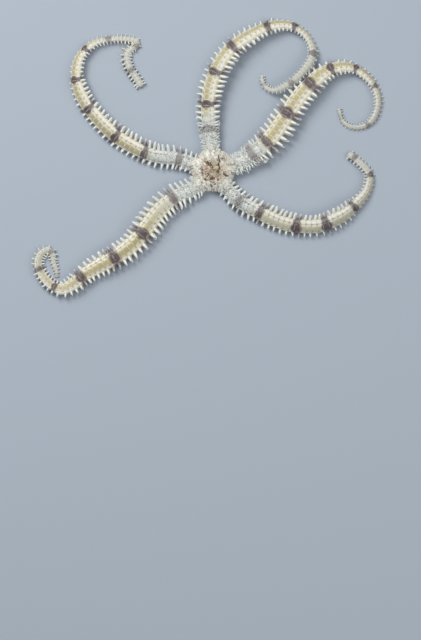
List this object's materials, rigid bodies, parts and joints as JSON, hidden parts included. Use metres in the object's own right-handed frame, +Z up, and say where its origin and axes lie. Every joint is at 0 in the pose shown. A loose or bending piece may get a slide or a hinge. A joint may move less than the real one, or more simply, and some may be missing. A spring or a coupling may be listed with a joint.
{
  "type": "brittle star",
  "caption": "Brittle star lying upper side up: round plated disc with a mouth of jaws below and long curling banded arms lined with blunt spines.",
  "frame": {"origin": "middle of the underside of the bounding box, on the floor that the animal lies on", "axes": "+Z up, out of the animal's upper side; +Y towards the top of the picture and +X towards its right, with the arms spread in the XY plane"},
  "size_m": [0.1048, 0.0834, 0.005],
  "materials": {
    "disc_skin": "granular, pinkish tan with dark brown creases",
    "arm_plates": "limy plates, olive cream with purplish brown bands",
    "jaw_plates": "smooth pale limy plates"
  },
  "bodies": {
    "root": {"disc": "disc_skin", "jaw_1": "jaw_plates", "jaw_2": "jaw_plates", "jaw_3": "jaw_plates", "jaw_4": "jaw_plates", "jaw_5": "jaw_plates", "arm_a_1": "arm_plates", "arm_a_2": "arm_plates", "arm_a_3": "arm_plates", "arm_a_4": "arm_plates", "arm_a_5": "arm_plates", "arm_a_6": "arm_plates", "arm_b_1": "arm_plates", "arm_b_2": "arm_plates", "arm_b_3": "arm_plates", "arm_b_4": "arm_plates", "arm_b_5": "arm_plates", "arm_b_6": "arm_plates", "arm_b_7": "arm_plates", "arm_c_1": "arm_plates", "arm_c_2": "arm_plates", "arm_c_3": "arm_plates", "arm_c_4": "arm_plates", "arm_c_5": "arm_plates", "arm_c_6": "arm_plates", "arm_d_1": "arm_plates", "arm_d_2": "arm_plates", "arm_d_3": "arm_plates", "arm_d_4": "arm_plates", "arm_d_5": "arm_plates", "arm_e_1": "arm_plates", "arm_e_2": "arm_plates", "arm_e_3": "arm_plates", "arm_e_4": "arm_plates", "arm_e_5": "arm_plates", "arm_e_6": "arm_plates", "arm_e_7": "arm_plates"}
  },
  "joints": []
}
